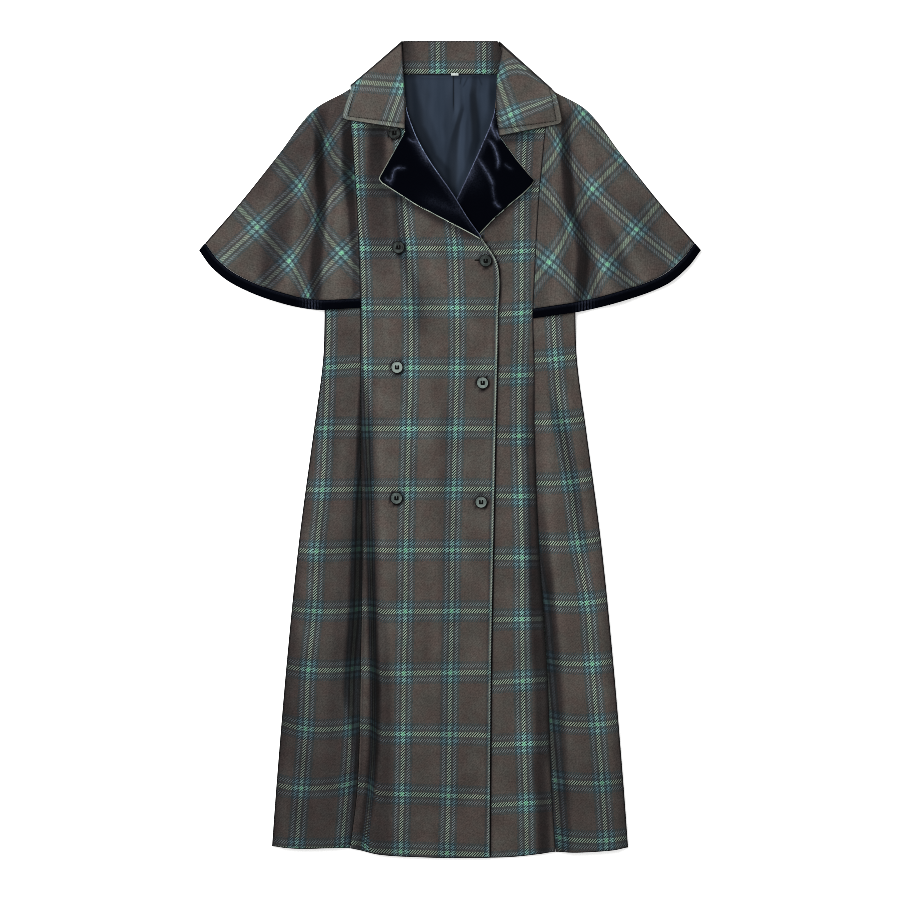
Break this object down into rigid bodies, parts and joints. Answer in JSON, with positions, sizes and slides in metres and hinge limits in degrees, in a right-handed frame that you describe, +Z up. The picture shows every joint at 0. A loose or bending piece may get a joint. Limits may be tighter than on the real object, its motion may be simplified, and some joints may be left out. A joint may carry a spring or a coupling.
{
  "type": "cape coat",
  "caption": "Long double-breasted plaid coat with cape sleeves, velvet lapels and bound cape hems, laid flat on its back and buttoned.",
  "frame": {"origin": "centre of the bounding box on the table the coat lies on", "axes": "+Y from the hem to the collar, +X to the wearer's left, +Z up from the table"},
  "size_m": [0.753, 1.2255, 0.0216],
  "materials": {
    "plaid_coating": "twill wool in a blue and green check",
    "velvet": "short dark pile",
    "lining_satin": "satin",
    "button_resin": "horn-like resin, semi-gloss",
    "label_tape": "woven tape, plain"
  },
  "bodies": {
    "root": {"back": "plaid_coating", "front_right": "plaid_coating", "front_left": "plaid_coating", "side_front_right": "plaid_coating", "side_front_left": "plaid_coating", "cape_front_right": "plaid_coating", "cape_front_left": "plaid_coating", "cape_back_right": "plaid_coating", "cape_back_left": "plaid_coating", "collar_stand": "plaid_coating", "collar_fall": "plaid_coating", "lapel_right": "plaid_coating", "lapel_left": "plaid_coating", "binding_front_right": "velvet", "binding_front_left": "velvet", "binding_back_right": "velvet", "binding_back_left": "velvet", "facing_right": "velvet", "facing_left": "velvet", "lining_back": "lining_satin", "button_1": "button_resin", "button_2": "button_resin", "button_3": "button_resin", "button_4": "button_resin", "button_5": "button_resin", "button_6": "button_resin", "button_7": "button_resin", "neck_label": "label_tape"}
  },
  "joints": []
}
